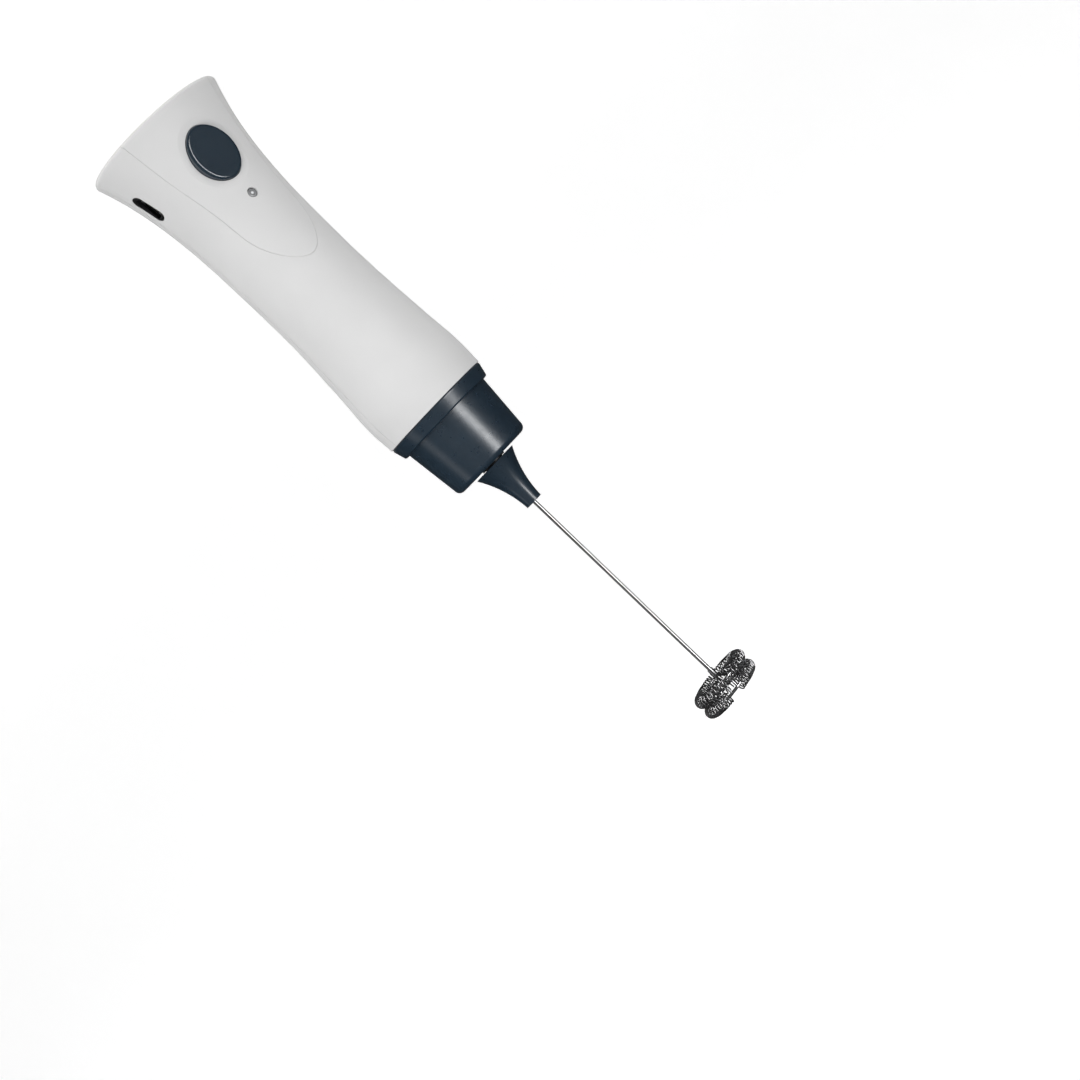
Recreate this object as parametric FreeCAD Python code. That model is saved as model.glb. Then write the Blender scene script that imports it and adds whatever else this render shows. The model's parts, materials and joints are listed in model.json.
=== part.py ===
import FreeCAD, Part
import math
import os
from FreeCAD import Placement, Rotation, Vector

# A rechargeable hand-held milk frother, in millimetres.
# The origin is the centre of the flat flared end of the handle, +Z runs along the motor axis to the
# whisk, the push button faces -Y and the charging port faces +X.

# ---- Handle casing ----
body_length = 116.2
waist_half_width = 17.35
flare_half_width = 8.6  # added to the waist at the flat end
flare_length = 69.0
flare_power = 3.5
front_waist_depth = 16.4  # from the motor axis to the front surface at the waist
front_flare_depth = 5.4
back_waist_depth = 14.3
back_flare_depth = 2.2
front_flare_power = 2.46
neck_room = 0.75                # between the nose cup's flange and the casing
bulge_to_mouth = 10.0           # distance from the widest round section to the mouth
bulge_power = 1.4
mouth_taper = 0.35
wall = 1.8
end_round = 1.4
far = 100.0                      # reaches past everything, for cutting blocks
over = 1.0                       # how far a cutter runs past the face that it cuts
form_stations = (0.0, 0.08, 0.17, 0.27, 0.38, 0.5, 0.63, 0.75, 0.85, 0.92, 0.97, 1.0)
post_root_share = 0.6            # how deep the posts and ribs run into the wall
seam_groove_width = 0.16
seam_groove_depth = 0.35

# ---- Front panel ----
panel_thickness = 0.8
panel_gap = 0.08
panel_end_half_width = 18.7
panel_low_half_width = 14.5
panel_mid_half_width = 11.6
panel_shoulder_half_width = 8.9
panel_low_height = 19.5
panel_mid_height = 36.6
panel_shoulder_height = 51.2
panel_tip_height = 59.9

# ---- Push button ----
button_width = 14.5
button_length = 18.3
button_height = 19.6  # its centre above the flat end
button_gap = 0.15
button_proud = 0.35
button_round = 0.9
button_flange = 0.9
button_flange_thickness = 0.8
button_flange_gap = 0.1
button_travel = 0.6
button_stem_radius = 1.9
stem_root = 0.5                  # how far the stem runs into the cap
button_play = 0.05
dish_width = 2.2
dish_depth = 0.4
edge_match = 0.3                 # how closely an edge must match the hole it runs round

# ---- Status light ----
lens_radius = 1.5
lens_dome = 0.67                 # rounding of the light pipe's outer end
lens_gap = 0.1
lens_height = 35.4
lens_recess = 0.35
lens_flange = 0.7
lens_flange_gap = 0.25
lens_flange_thickness = 0.8
led_width = 2.8
led_length = 3.0
led_depth = 1.6

# ---- Circuit board and charging port ----
board_front = -1.9              # the board's front face
board_thickness = 1.2
board_wire_margin = 0.5          # board beyond the middle of the outer wires
board_bottom = 4.5
board_top = 37.6
port_length = 10.5  # along the handle
port_opening = 4.0
port_height = 16.8
port_receptacle_length = 9.0
port_receptacle_thickness = 3.2
port_shell_wall = 0.3
port_tab_spread = 0.27            # tabs from the middle, as a share of the receptacle
port_receptacle_depth = 7.3
port_recess = 0.9
port_tongue_thickness = 0.7
port_tongue_length = 6.7
port_tongue_depth = 5.4
port_base_length = 4.8            # block at the root of the tongue
port_base_depth = 1.2
port_tab_width = 0.8
port_tab_length = 0.5             # into the shell
port_tab_thickness = 0.6
port_liner_gap = 0.04
port_liner_recess = 0.12          # how far the liner lies in from the casing
board_side_gap = 0.3              # between the board's tab and the casing
board_mouth_gap = 0.6
board_tab_margin = 1.2          # board beyond each end of the receptacle
switch_width = 6.0
switch_body_depth = 3.5
switch_floor = 0.6
plunger_radius = 1.7
plunger_depth = 1.6
chip_size = 5.0
chip_depth = 1.0
chip_height = 28.4

# ---- Screws ----
screw_radius = 1.0
screw_head_radius = 1.9
screw_head_depth = 1.3
screw_clearance = 0.15
screw_slot_width = 0.4
screw_slot_share = 0.6           # of the head's radius and depth
post_wall = 1.4
head_post_wall = 1.3            # around the heads of the casing screws
post_gap = 0.3
case_screw_side = 13.0
case_screw_low_height = 6.8
case_screw_seat = -11.0
case_screw_bite = 4.0
board_screw_side = 7.6
board_screw_height = 7.6
board_screw_bite = 6.0

# ---- Battery ----
cell_radius = 7.1
cell_length = 48.5
cell_button_radius = 2.6
cell_button_depth = 0.8
cell_edge_round = 0.6
cell_gap = 0.4                  # between the middle screw post and the cell
rib_thickness = 2.0             # of the two ribs that hold the cell
rib_inset = 5.0                 # from each end of the cell
rib_gap = 0.1
rib_reach_share = 0.45          # how far round the cell the ribs reach
pad_thickness = 0.5
pad_lip = 1.6                   # how far the pad reaches forward round the cell
pad_width = 9.0
pad_length = 30.0
tab_thickness = 0.15
tab_width = 4.0
wire_radius = 0.6
wire_tail = 4.5                 # soldered length on the board
wire_gap = 0.5
motor_wire_step = 1.8           # from the battery's long wire to the motor's
wire_bow = 1.5                  # sideways slack of the long wires
wire_bow_run = 12.0

# ---- Motor ----
motor_radius = 12.0
motor_length = 24.5
motor_wall = 0.8
motor_gap = 1.4                 # between the cell and the end bell
motor_drop = 0.6                # motor's top below the nose cup's shoulder
end_bell_depth = 2.0
spigot_depth = 0.8              # of the end bell inside the can
spigot_wall = 1.6
terminal_length = 2.6
terminal_width = 2.0
terminal_thickness = 0.4
magnet_thickness = 2.0
magnet_angle = 130.0
magnet_length = 18.0
air_gap = 0.4
rotor_length = 14.0
rotor_poles = 3
pole_neck_width = 3.4
pole_shoe_depth = 1.6
pole_hub_radius = 3.2
pole_span = 100.0
winding_depth = 1.7
winding_gap = 0.6               # between the windings and the core's hub
winding_apart = 2.0             # degrees between neighbouring windings
commutator_radius = 2.5
commutator_length = 3.2
commutator_gap = 0.4            # from the end bell
brush_width = 1.6
brush_gap = 0.04
brush_lap = 0.4                  # how far each brush runs over its terminal
shaft_radius = 1.0
shaft_tail = 0.2                # below the end bell
bush_radius = 2.4
bush_length = 2.4
running_gap = 0.02
motor_boss_radius = 3.1
motor_boss_depth = 1.6
mount_thickness = 1.6
mount_screw_ring = 8.0
mount_screw_radius = 1.1
mount_screw_length = 3.0
mount_head_radius = 1.9
mount_head_depth = 1.1
sleeve_thickness = 1.3
sleeve_length = 16.0

# ---- Collar and nose cup ----
collar_step = 0.15              # how far the collar stands in from the casing's mouth
collar_draw = 1.2  # how much narrower the collar is at its top
collar_height = 4.6
collar_round = 0.6
neck_gap = 0.05
neck_depth = 6.0                # mouth rib of the casing along the neck
neck_flange = 1.2
neck_flange_depth = 2.4
neck_wall = 1.7
nose_shoulder = 1.0  # how far the nose cup stands out over its neck
nose_draw = 1.7                 # how much narrower the nose cup is at its top
nose_height = 19.2
nose_edge_round = 2.0
nose_wall = 1.8
nose_mouth_radius = 4.8

# ---- Coupling and whisk ----
seal_radius = 3.4
seal_depth = 2.4
seal_drop = 1.0                 # from the seal to the drum
seal_web_lap = 0.5
seal_gap = 0.02
coupling_radius = 4.45
coupling_drum_length = 7.0
coupling_stub = 0.55  # how far the drum shows above the nose cup
coupling_post = 5.0             # square post across its flats
coupling_post_length = 7.0
coupling_fit = 0.05
shaft_grip = 5.0
hub_radius = 7.6
hub_mid_radius = 4.4
hub_top_radius = 2.85
hub_length = 16.45
hub_mid_share = 0.45
hub_lift = 0.2  # gap between the hub's face and the drum's
rod_radius = 0.65
rod_length = 81.3  # from the hub's socket floor to the ferrule
rod_seat = 6.0
ferrule_radius = 0.95
ferrule_length = 2.0
ring_radius = 8.95
ring_wire_radius = 0.5
spring_tube_radius = 2.1
spring_wire = 0.4
ring_spacing = 4.25
ring_tilt = 5.5
ring_tilt_azimuth = 28.8
spring_gap_angle = 34.0
spoke_radius = 0.45
spoke_offset = -20.0            # angles from the middle of the whisk's front
link_offsets = (-14.0, 3.0)
link_radius = 0.4
upper_gap_offset = -10.0
lower_gap_offset = -2.0
head_drop = 2.3                 # from the end of the rod to the upper ring's plane

TINY = 0.001

# ---- Sizes that follow from the ones above ----
front_reach = front_waist_depth + front_flare_depth + far / 10
neck_radius = motor_radius + sleeve_thickness + neck_wall
mouth_radius = neck_radius + neck_flange + neck_room + wall
bulge_radius = mouth_radius + mouth_taper
collar_radius = mouth_radius - collar_step
collar_top_radius = collar_radius - collar_draw
nose_radius = neck_radius + nose_shoulder
nose_top_radius = nose_radius - nose_draw
mouth_z = body_length
bulge_z = body_length - bulge_to_mouth
collar_z = mouth_z
nose_z = collar_z + collar_height
nose_end_z = nose_z + nose_height
board_back = board_front + board_thickness
post_radius = screw_radius + screw_clearance + post_wall
head_post_radius = screw_head_radius + screw_clearance + head_post_wall
case_screw_mid_height = board_top + head_post_radius + post_gap
cell_bottom = case_screw_mid_height + head_post_radius + cell_gap
cell_top = cell_bottom + cell_length
cell_y = back_waist_depth - wall - pad_thickness - cell_radius
bell_bottom = max(cell_top + motor_gap, nose_z - motor_drop - motor_length - end_bell_depth)
motor_bottom = bell_bottom + end_bell_depth
motor_top = motor_bottom + motor_length
commutator_z = motor_bottom + commutator_gap
wire_y = board_back + wire_radius
battery_wire_side = cell_radius + wire_radius + wire_gap
motor_wire_side = battery_wire_side + motor_wire_step
board_half_width = motor_wire_side + board_wire_margin
port_y = board_front - port_receptacle_thickness / 2
plunger_tip = board_front - switch_body_depth - plunger_depth
drum_bottom = nose_end_z + coupling_stub - coupling_drum_length
drum_top = nose_end_z + coupling_stub
post_top = drum_top + coupling_post_length
hub_z = drum_top + hub_lift
hub_top = hub_z + hub_length
rod_bottom = hub_top - rod_seat
rod_top = rod_bottom + rod_length
upper_ring_z = rod_top + head_drop
lower_ring_z = upper_ring_z + ring_spacing


def ramp(z, power):
    """How much of the end flare is present at this height."""
    return max(0.0, 1.0 - z / flare_length) ** power


def rise(z):
    """How much of the round bulge is present at this height."""
    share = (z - flare_length) / (bulge_z - flare_length)
    return min(1.0, max(0.0, share)) ** bulge_power


def taper(z):
    """How far the casing closes in again above its widest round section."""
    return mouth_taper * max(0.0, (z - bulge_z) / bulge_to_mouth) ** 2


def section_size(z, waist, flare, power):
    """The casing's reach from the axis on one side: waist, end flare, round bulge and mouth."""
    flared = waist + flare * ramp(z, power)
    return flared + (bulge_radius - waist) * rise(z) - taper(z)


def half_width(z):
    return section_size(z, waist_half_width, flare_half_width, flare_power)


def front_depth(z):
    return section_size(z, front_waist_depth, front_flare_depth, front_flare_power)


def back_depth(z):
    return section_size(z, back_waist_depth, back_flare_depth, flare_power)


def surface_x(y, z):
    """Where the casing's flank lies at this depth and height."""
    depth = (front_depth(z) + back_depth(z)) / 2
    middle = (back_depth(z) - front_depth(z)) / 2
    return half_width(z) * math.sqrt(1 - ((y - middle) / depth) ** 2)


def oval(half_x, half_y, middle_y, z):
    """A closed oval wire across the axis."""
    placed = Part.Ellipse(Vector(0, 0, 0), max(half_x, half_y + TINY), half_y)
    edge = placed.toShape()
    edge.translate(Vector(0, middle_y, z))
    return Part.Wire([edge])


def casing_form(inset, low, high):
    """The casing's outer form, drawn in by inset, between two heights."""
    rings = []
    for share in form_stations:
        z = body_length * share
        depth = (front_depth(z) + back_depth(z)) / 2
        middle = (back_depth(z) - front_depth(z)) / 2
        rings.append(oval(half_width(z) - inset, depth - inset, middle, z))
    form = Part.makeLoft(rings, True, False)
    slab = Part.makeBox(2 * far, 2 * far, high - low, Vector(-far, -far, low))
    return form.common(slab)


def rod(radius, start, end):
    """A round bar between two points."""
    line = end.sub(start)
    return Part.makeCylinder(radius, line.Length, start, line)


def tube(outer, inner, z0, z1):
    ring = Part.makeCylinder(outer, z1 - z0, Vector(0, 0, z0))
    return ring.cut(Part.makeCylinder(inner, z1 - z0, Vector(0, 0, z0)))


def block(x0, x1, y0, y1, z0, z1):
    return Part.makeBox(x1 - x0, y1 - y0, z1 - z0, Vector(x0, y0, z0))


def oval_bar(half_x, half_z, height, y0, y1):
    """An oval bar along Y, centred on the handle's middle line."""
    ring = Part.Ellipse(Vector(0, 0, 0), half_z, half_x).toShape()
    ring.rotate(Vector(0, 0, 0), Vector(0, 0, 1), 90)
    ring.rotate(Vector(0, 0, 0), Vector(1, 0, 0), 90)
    ring.translate(Vector(0, y0, height))
    return Part.Face(Part.Wire([ring])).extrude(Vector(0, y1 - y0, 0))


def slot_bar(length, thickness, y, z, x0, x1):
    """A bar along X with a round-ended section, long way up the handle."""
    half = thickness / 2
    straight = length / 2 - half
    bar = block(x0, x1, y - half, y + half, z - straight, z + straight)
    for end in (z - straight, z + straight):
        bar = bar.fuse(rod(half, Vector(x0, y, end), Vector(x1, y, end)))
    return bar.removeSplitter()


def turned(points):
    """A solid of revolution about Z from (radius, z) points and arcs given as pairs of points."""
    edges = []
    last = Vector(points[0][0], 0, points[0][1])
    for point in points[1:] + points[:1]:
        if len(point) == 2:
            here = Vector(point[0], 0, point[1])
            edges.append(Part.makeLine(last, here))
        else:
            middle = Vector(point[0], 0, point[1])
            here = Vector(point[2], 0, point[3])
            edges.append(Part.Arc(last, middle, here).toShape())
        last = here
    face = Part.Face(Part.Wire(edges))
    return face.revolve(Vector(0, 0, 0), Vector(0, 0, 1), 360)


def bent_wire(points, radius, bend):
    """A round wire along straight runs joined by tangent arcs."""
    edges = []
    start = points[0]
    for here, after in zip(points[1:-1], points[2:]):
        into = here.sub(start)
        out = after.sub(here)
        into.normalize()
        out.normalize()
        turn = into.getAngle(out)
        reach = bend * math.tan(turn / 2)
        first = here.sub(into * reach)
        last = here.add(out * reach)
        inward = out.sub(into)
        inward.normalize()
        centre = here.add(inward * (bend / math.cos(turn / 2)))
        middle = centre.sub(inward * bend)
        edges.append(Part.makeLine(start, first))
        edges.append(Part.Arc(first, middle, last).toShape())
        start = last
    edges.append(Part.makeLine(start, points[-1]))
    path = Part.Wire(edges)
    heading = points[1].sub(points[0])
    section = Part.Wire([Part.makeCircle(radius, points[0], heading)])
    return path.makePipeShell([section], True, False)


# ---- Handle ----
def panel_outline(grow):
    """The tongue-shaped outline of the front panel, larger by grow."""
    side = [
        (panel_end_half_width, -over),
        (panel_low_half_width, panel_low_height),
        (panel_mid_half_width, panel_mid_height),
        (panel_shoulder_half_width, panel_shoulder_height),
    ]
    right = [Vector(x + grow, 0, z) for x, z in side]
    left = [Vector(-p.x, 0, p.z) for p in reversed(right)]
    tip = [Vector(0, 0, panel_tip_height + grow)]
    curve = Part.BSplineCurve()
    curve.interpolate(right + tip + left)
    closing = Part.makeLine(left[-1], right[0])
    return Part.Wire([curve.toShape(), closing])


def panel_bar(grow):
    face = Part.Face(panel_outline(grow))
    return face.extrude(Vector(0, -front_reach, 0))


def case_screw_places():
    return [
        (-case_screw_side, case_screw_low_height),
        (case_screw_side, case_screw_low_height),
        (0.0, case_screw_mid_height),
    ]


def casing_skin(solid_form):
    """The hollow casing with its end wall and the rib that grips the nose cup's neck."""
    hollow = casing_form(wall, wall, mouth_z - neck_depth)
    bore = Part.makeCylinder(neck_radius + neck_gap, neck_depth + 2, Vector(0, 0, mouth_z - neck_depth - 1))
    return solid_form.cut(hollow).cut(bore)


def seam_groove():
    """The fine line around the parting of the two half casings."""
    strip = block(-far, far, -seam_groove_width / 2, seam_groove_width / 2, -over, mouth_z + over)
    return strip.cut(casing_form(seam_groove_depth, 0, mouth_z))


def make_front_panel(solid_form, panel_floor):
    panel = solid_form.common(panel_bar(0)).cut(panel_floor)
    hole_x = button_width / 2 + button_gap
    hole_z = button_length / 2 + button_gap
    panel = panel.cut(oval_bar(hole_x, hole_z, button_height, -front_reach, 0))
    rim = [e for e in panel.Edges if near_button(e, hole_x, hole_z)]
    rim.sort(key=lambda e: e.CenterOfMass.y)
    dished = panel.makeChamfer(dish_width, dish_depth, rim[:1])
    if not dished.isValid() or dished.Volume > panel.Volume:
        raise RuntimeError("the button's dish failed")
    start = Vector(0, -front_reach, lens_height)
    lens_hole = rod(lens_radius + lens_gap, start, Vector(0, 0, lens_height))
    return dished.cut(lens_hole)


def near_button(edge, hole_x, hole_z):
    """Whether an edge runs all round the button's hole."""
    box = edge.BoundBox
    return abs(box.XLength - 2 * hole_x) < edge_match and abs(box.ZLength - 2 * hole_z) < edge_match


def make_front_shell(skin, inner_form, panel_floor, solid_form):
    shell = skin.common(block(-far, far, -far, 0, -over, mouth_z + over))
    for x, z in case_screw_places():
        shell = shell.fuse(post(x, z, -far, 0, inner_form, head_post_radius))
    for x in (-board_screw_side, board_screw_side):
        shell = shell.fuse(post(x, board_screw_height, -far, board_front, inner_form, post_radius))
    pocket = solid_form.common(panel_bar(panel_gap)).cut(panel_floor)
    shell = shell.cut(pocket)
    opening_x = button_width / 2 + button_flange + button_gap
    opening_z = button_length / 2 + button_flange + button_gap
    shell = shell.cut(oval_bar(opening_x, opening_z, button_height, -front_reach, board_front - 2))
    lens_seat = lens_radius + lens_flange + lens_gap
    shell = shell.cut(rod(lens_seat, Vector(0, -front_reach, lens_height), Vector(0, board_front, lens_height)))
    for x, z in case_screw_places():
        shell = shell.cut(rod(screw_radius + screw_clearance, Vector(x, -front_reach, z), Vector(x, 1, z)))
        head_room = screw_head_radius + screw_clearance
        shell = shell.cut(rod(head_room, Vector(x, -front_reach, z), Vector(x, case_screw_seat, z)))
    for x in (-board_screw_side, board_screw_side):
        bite = board_front - board_screw_bite
        shell = shell.cut(rod(screw_radius, Vector(x, bite, board_screw_height), Vector(x, 1, board_screw_height)))
    slot = slot_bar(port_length, port_opening, port_y, port_height, board_half_width, far)
    shell = shell.cut(slot)
    return shell.cut(seam_groove())


def post(x, z, y0, y1, inner_form, radius):
    """A screw post that grows out of the casing's wall."""
    bar = rod(radius, Vector(x, y0, z), Vector(x, y1, z))
    return bar.common(inner_form)


def make_rear_shell(skin, inner_form):
    shell = skin.common(block(-far, far, 0, far, -over, mouth_z + over))
    for x, z in case_screw_places():
        shell = shell.fuse(post(x, z, 0, far, inner_form, post_radius))
    half = rib_thickness / 2
    rib_front = cell_y + cell_radius * rib_reach_share
    for z in (cell_bottom + rib_inset, cell_top - rib_inset):
        rib = block(-far, far, rib_front, far, z - half, z + half).common(inner_form)
        room = Part.makeCylinder(cell_radius + rib_gap, rib_thickness + 2 * over, Vector(0, cell_y, z - half - over))
        rib = rib.cut(room)
        shell = shell.fuse(rib)
    for x, z in case_screw_places():
        shell = shell.cut(rod(screw_radius, Vector(x, -1, z), Vector(x, case_screw_bite, z)))
    return shell.cut(seam_groove())


def button_plane():
    """Everything behind the cap's flat face, which leans with the casing."""
    half = button_length / 2
    low_front = -front_depth(button_height - half) - button_proud
    high_front = -front_depth(button_height + half) - button_proud
    lean = (high_front - low_front) / button_length
    low = button_height - half - over
    high = button_height + half + over
    corners = [
        Vector(-button_width, low_front - lean * over, low),
        Vector(-button_width, high_front + lean * over, high),
        Vector(-button_width, 0, high),
        Vector(-button_width, 0, low),
    ]
    side = Part.Face(Part.makePolygon(corners + corners[:1]))
    return side.extrude(Vector(2 * button_width, 0, 0))


def make_button_cap():
    half_x = button_width / 2
    half_z = button_length / 2
    back_inset = panel_thickness + button_flange_gap + button_flange_thickness
    hollow = casing_form(back_inset, 0, flare_length)
    bar = oval_bar(half_x, half_z, button_height, -front_reach, 0)
    cap = bar.common(button_plane()).cut(hollow)
    rim = [e for e in cap.Edges if near_button(e, half_x, half_z)]
    rim.sort(key=lambda e: e.CenterOfMass.y)
    cap = cap.makeFillet(button_round, rim[:1])
    wide = oval_bar(half_x + button_flange, half_z + button_flange, button_height, -front_reach, 0)
    flange = wide.common(casing_form(panel_thickness + button_flange_gap, 0, flare_length)).cut(hollow)
    root = Vector(0, -front_depth(button_height) + back_inset - stem_root, button_height)
    tip = Vector(0, plunger_tip - button_play, button_height)
    stem = rod(button_stem_radius, root, tip)
    return cap.fuse(flange).fuse(stem).removeSplitter()


def make_led_lens():
    """A light pipe from the panel to the diode, domed at its outer end."""
    front = -front_depth(lens_height) + lens_recess
    pipe = rod(lens_radius, Vector(0, front, lens_height), Vector(0, board_front - led_depth, lens_height))
    pipe = pipe.makeFillet(lens_dome, [e for e in pipe.Edges if e.CenterOfMass.y < front + TINY][:1])
    seat = -front_depth(lens_height) + panel_thickness + lens_flange_gap
    flange = rod(lens_radius + lens_flange, Vector(0, seat, lens_height),
                 Vector(0, seat + lens_flange_thickness, lens_height))
    return pipe.fuse(flange).removeSplitter()


def make_led():
    half = led_width / 2
    return block(-half, half, board_front - led_depth, board_front, lens_height - led_length / 2,
                 lens_height + led_length / 2)


# ---- Circuit board and charging port ----
port_mouth = surface_x(port_y, port_height) - port_recess
port_back = port_mouth - port_receptacle_depth


def make_usb_shell():
    length = port_receptacle_length
    thickness = port_receptacle_thickness
    shell = slot_bar(length, thickness, port_y, port_height, port_back, port_mouth)
    room = slot_bar(length - 2 * port_shell_wall, thickness - 2 * port_shell_wall, port_y, port_height,
                    port_back + port_shell_wall, port_mouth + 1)
    shell = shell.cut(room)
    return shell.fuse(port_tabs(0)).removeSplitter()


def port_tabs(grow):
    """The two grounding tabs at the front of the receptacle's mouth, larger by grow."""
    front = port_y - port_receptacle_thickness / 2
    back = front + port_tab_thickness
    half = port_tab_width / 2
    tabs = []
    for offset in (-port_tab_spread, port_tab_spread):
        z = port_height + offset * port_receptacle_length
        low = z - half - grow
        high = z + half + grow
        tabs.append(block(port_mouth - port_tab_length, far, front - grow, back + grow, low, high))
    form = casing_form(port_liner_recess, 0, flare_length)
    return tabs[0].fuse(tabs[1]).common(form)


def make_port_liner():
    """The black liner that fills the slot between the casing and the receptacle."""
    outer_length = port_length - 2 * port_liner_gap
    outer_thickness = port_opening - 2 * port_liner_gap
    inner_end = board_tab_edge() + port_liner_gap
    liner = slot_bar(outer_length, outer_thickness, port_y, port_height, inner_end, far)
    liner = liner.common(casing_form(port_liner_recess, 0, flare_length))
    length = port_receptacle_length
    thickness = port_receptacle_thickness
    body_room = slot_bar(length, thickness, port_y, port_height, port_back, port_mouth + port_liner_gap)
    mouth_length = length - 2 * port_shell_wall
    mouth_thickness = thickness - 2 * port_shell_wall
    mouth = slot_bar(mouth_length, mouth_thickness, port_y, port_height, port_back, far)
    return liner.cut(body_room).cut(mouth).cut(port_tabs(port_liner_gap))


def make_usb_tongue():
    half = port_tongue_thickness / 2
    inner = port_back + port_shell_wall
    base_half = port_receptacle_thickness / 2 - port_shell_wall
    long_half = port_tongue_length / 2
    tongue = block(inner, inner + port_tongue_depth, port_y - half, port_y + half, port_height - long_half,
                   port_height + long_half)
    base_long = port_base_length / 2
    base = block(inner, inner + port_base_depth, port_y - base_half, port_y + base_half, port_height - base_long,
                 port_height + base_long)
    return tongue.fuse(base).removeSplitter()


def board_tab_edge():
    """How far the board's tab reaches under the receptacle."""
    tab_high = port_height + port_receptacle_length / 2 + board_tab_margin
    room = surface_x(board_back, tab_high) - wall - board_side_gap
    return min(port_mouth - board_mouth_gap, room)


def make_pcb():
    board = block(-board_half_width, board_half_width, board_front, board_back, board_bottom, board_top)
    reach = port_receptacle_length / 2 + board_tab_margin
    tab_low = port_height - reach
    tab_high = port_height + reach
    tab = block(board_half_width - 1, board_tab_edge(), board_front, board_back, tab_low, tab_high)
    board = board.fuse(tab).removeSplitter()
    for x, z in case_screw_places()[:2]:
        notch = rod(head_post_radius + post_gap, Vector(x, board_front - 1, z), Vector(x, board_back + 1, z))
        board = board.cut(notch)
    for x in (-board_screw_side, board_screw_side):
        hole = screw_radius + screw_clearance
        board = board.cut(rod(hole, Vector(x, board_front - 1, board_screw_height),
                              Vector(x, board_back + 1, board_screw_height)))
    return board


def make_charge_chip():
    half = chip_size / 2
    return block(-half, half, board_back, board_back + chip_depth, chip_height - half, chip_height + half)


def make_switch_body():
    half = switch_width / 2
    front = board_front - switch_body_depth
    body = block(-half, half, front, board_front, button_height - half, button_height + half)
    bore = plunger_radius + 2 * running_gap
    floor = board_front - switch_floor
    return body.cut(rod(bore, Vector(0, front - 1, button_height), Vector(0, floor, button_height)))


def make_switch_plunger():
    inner = board_front - switch_floor - button_travel - running_gap
    return rod(plunger_radius, Vector(0, plunger_tip, button_height), Vector(0, inner, button_height))


# ---- Screws ----
def screw(x, z, seat, shank, towards):
    """A pan-head screw along Y whose shank runs the way that towards points."""
    head = rod(screw_head_radius, Vector(x, seat - towards * screw_head_depth, z), Vector(x, seat, z))
    body = rod(screw_radius, Vector(x, seat, z), Vector(x, seat + towards * shank, z))
    arm = screw_head_radius * screw_slot_share
    depth = screw_head_depth * screw_slot_share
    face = seat - towards * screw_head_depth
    low = min(face, face + towards * depth)
    half = screw_slot_width / 2
    cross = block(x - arm, x + arm, low, low + depth, z - half, z + half)
    cross = cross.fuse(block(x - half, x + half, low, low + depth, z - arm, z + arm))
    return head.fuse(body).removeSplitter().cut(cross)


def make_housing_screws():
    length = case_screw_bite - case_screw_seat
    return Part.makeCompound([screw(x, z, case_screw_seat, length, 1) for x, z in case_screw_places()])


def make_pcb_screws():
    places = (-board_screw_side, board_screw_side)
    length = board_thickness + board_screw_bite
    return Part.makeCompound([screw(x, board_screw_height, board_back, length, -1) for x in places])


# ---- Battery ----
def make_battery_cell():
    base = Vector(0, cell_y, cell_bottom)
    cell = Part.makeCylinder(cell_radius, cell_length - cell_button_depth, base)
    cell = cell.makeFillet(cell_edge_round, cell.Edges[:1] + cell.Edges[2:3])
    top = Vector(0, cell_y, cell_top - cell_button_depth)
    return cell.fuse(Part.makeCylinder(cell_button_radius, cell_button_depth, top)).removeSplitter()


def tab_strip(x, z):
    """A nickel strip from the middle of the cell's end to the wire at x."""
    reach = math.hypot(x, cell_y - wire_y)
    angle = math.degrees(math.atan2(wire_y - cell_y, x))
    strip = block(-tab_width / 2, reach, -tab_width / 2, tab_width / 2, 0, tab_thickness)
    strip.rotate(Vector(0, 0, 0), Vector(0, 0, 1), angle)
    strip.translate(Vector(0, cell_y, z))
    return strip


def make_battery_tabs():
    low = tab_strip(-battery_wire_side, cell_bottom - tab_thickness)
    high = tab_strip(battery_wire_side, cell_top)
    return Part.makeCompound([low, high])


def make_battery_pad():
    """A foam pad between the cell and the rear shell."""
    y0 = cell_y + cell_radius
    middle = (cell_bottom + cell_top) / 2
    half = pad_width / 2
    pad = block(-half, half, cell_y, y0 + pad_thickness, middle - pad_length / 2, middle + pad_length / 2)
    pad = pad.cut(Part.makeCylinder(cell_radius, cell_length, Vector(0, cell_y, cell_bottom)))
    return pad.common(block(-half, half, y0 - pad_lip, far, 0, cell_top)).common(casing_form(wall, 0, mouth_z))


def make_short_wire(x):
    """The battery's lower wire, straight from its strip to the board."""
    return rod(wire_radius, Vector(x, wire_y, board_top - wire_tail), Vector(x, wire_y, cell_bottom - tab_thickness))


def make_long_wire(x, top):
    """A wire from the board up past the cell, with a sideways bow that leaves it slack."""
    low = board_top - wire_tail
    side = math.copysign(wire_bow, x)
    first = board_top + wire_bow_run / 2
    second = first + wire_bow_run
    third = top - wire_bow_run
    fourth = top - wire_bow_run / 2
    points = [
        Vector(x, wire_y, low),
        Vector(x, wire_y, first),
        Vector(x + side, wire_y, second),
        Vector(x + side, wire_y, third),
        Vector(x, wire_y, fourth),
        Vector(x, wire_y, top),
    ]
    return bent_wire(points, wire_radius, wire_bow_run / 2)


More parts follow.
